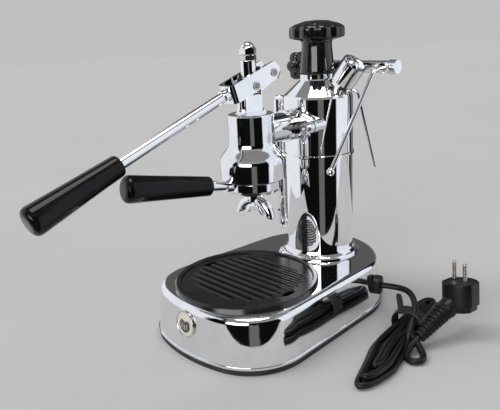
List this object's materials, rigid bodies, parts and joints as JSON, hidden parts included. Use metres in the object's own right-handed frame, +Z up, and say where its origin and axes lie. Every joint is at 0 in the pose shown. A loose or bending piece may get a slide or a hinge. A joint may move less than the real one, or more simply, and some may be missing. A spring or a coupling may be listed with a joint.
{
  "type": "espresso machine",
  "caption": "Manual lever espresso machine with a round chromed base, upright boiler with a lobed cap, brewing group, portafilter, steam wand, drip tray and mains lead with its plug.",
  "frame": {"origin": "centre of the base's footprint, on the table", "axes": "+Z up; -Y is the front, where the group and the lever are; +X is the user's right, where the steam wand and the cord are"},
  "size_m": [0.2926, 0.4239, 0.3264],
  "materials": {
    "rubber_black": "satin",
    "chrome": "mirror polished plate",
    "zinc_steel": "zinc plated",
    "emblem": "polished with dark enamel field",
    "tray_black": "satin black",
    "bakelite": "polished black phenolic",
    "brass": "turned",
    "stainless": "drawn",
    "glass": "clear tube",
    "seal_black": "matte",
    "spring_steel": "wire",
    "cast_alloy": "polished plate over cast brass",
    "copper_sheath": "heater sheath",
    "switch_black": "moulded",
    "lamp_red": "lens",
    "cord_black": "matte PVC",
    "nickel": "nickel plate"
  },
  "bodies": {
    "frame": {"base_trim": "rubber_black", "base_shell": "chrome", "bottom_plate": "zinc_steel", "plate_screws": "zinc_steel", "badge": "emblem", "boiler_lower": "chrome", "boiler_upper": "chrome", "boiler_collar": "chrome", "boiler_nut": "brass", "heating_element": "copper_sheath", "safety_body": "chrome", "safety_cap": "chrome", "safety_spring": "spring_steel", "sight_fittings": "chrome", "sight_glass": "glass", "sight_guard": "chrome", "valve_body": "chrome", "valve_packing_nut": "chrome", "vent_tube": "chrome", "group_casting": "cast_alloy", "guide_bush": "brass", "group_gasket": "seal_black", "shower_screen": "stainless", "fork_post": "chrome", "flange_gasket": "seal_black", "boiler_flange": "cast_alloy", "flange_bolts": "stainless", "switch_housing": "switch_black", "pilot_lamp": "lamp_red", "cord_gland": "cord_black", "power_cord": "cord_black", "cord_bundle": "cord_black", "cord_tie": "rubber_black", "plug_body": "cord_black", "plug_pins": "nickel"},
    "tray": {"drip_tray": "tray_black"},
    "grille": {"drip_grille": "tray_black"},
    "cap_lift": {"cap_seal": "seal_black"},
    "cap": {"cap_knob": "bakelite", "cap_plug": "brass"},
    "lever": {"lever_fork": "chrome", "lever_tube": "chrome", "lever_grip": "bakelite", "lever_pins": "brass", "pin_clips": "stainless"},
    "rod": {"piston_rod": "chrome", "rod_lock_nut": "nickel", "rod_dome_nut": "chrome", "piston": "brass", "piston_seals": "seal_black"},
    "portafilter": {"pf_body": "cast_alloy", "pf_grip": "bakelite", "filter_basket": "stainless", "pf_spouts": "chrome"},
    "tap": {"valve_spindle": "stainless", "steam_knob": "bakelite"},
    "wand": {"steam_wand": "chrome", "wand_nut": "chrome"},
    "rocker": {"switch_rocker": "switch_black"},
    "poppet": {"safety_stem": "brass"}
  },
  "joints": [
    {"name": "lever_swing", "type": "hinge", "parent": "frame", "child": "lever", "pos_m": [0, -0.0062, 0.2765], "axis": [-1, 0, 0], "range_deg": [0, 58]},
    {"name": "piston_slide", "type": "slide", "parent": "frame", "child": "rod", "axis": [0, 0, 1], "range_m": [0, 0.0272]},
    {"name": "pf_twist", "type": "hinge", "parent": "frame", "child": "portafilter", "pos_m": [0, -0.032, 0.165], "axis": [0, 0, 1], "range_deg": [-50, 10]},
    {"name": "cap_lift", "type": "slide", "parent": "frame", "child": "cap_lift", "axis": [0, 0, 1], "range_m": [0, 0.004]},
    {"name": "cap_turn", "type": "hinge", "parent": "cap_lift", "child": "cap", "pos_m": [0, 0.0752, 0.29], "axis": [0, 0, 1], "range_deg": [0, 720]},
    {"name": "tap_turn", "type": "hinge", "parent": "frame", "child": "tap", "pos_m": [-0.03, 0.104, 0.274], "axis": [-1, 0, 0], "range_deg": [0, 540]},
    {"name": "wand_swivel", "type": "hinge", "parent": "frame", "child": "wand", "pos_m": [0.077, 0.094, 0.274], "axis": [0, -1, 0], "range_deg": [-15, 45]},
    {"name": "tray_lift", "type": "slide", "parent": "frame", "child": "tray", "axis": [0, 0, 1], "range_m": [0, 0.04]},
    {"name": "grille_lift", "type": "slide", "parent": "tray", "child": "grille", "axis": [0, 0, 1], "range_m": [0, 0.02]},
    {"name": "switch_tilt", "type": "hinge", "parent": "frame", "child": "rocker", "pos_m": [-0.08221, 0.01978, 0.03107], "axis": [-0.0558, -0.9984, 0], "range_deg": [0, 16]},
    {"name": "poppet_lift", "type": "slide", "parent": "frame", "child": "poppet", "axis": [0.6428, 0, 0.766], "range_m": [0, 0.002], "stiffness_N_per_m": 1500, "springref_m": -0.003, "deforming": ["safety_spring"]}
  ],
  "couplings": [
    {"joint": "piston_slide", "follows": "lever_swing", "m_per_rad": 0.02678},
    {"joint": "cap_turn", "follows": "cap_lift", "rad_per_m": 3141.6}
  ]
}
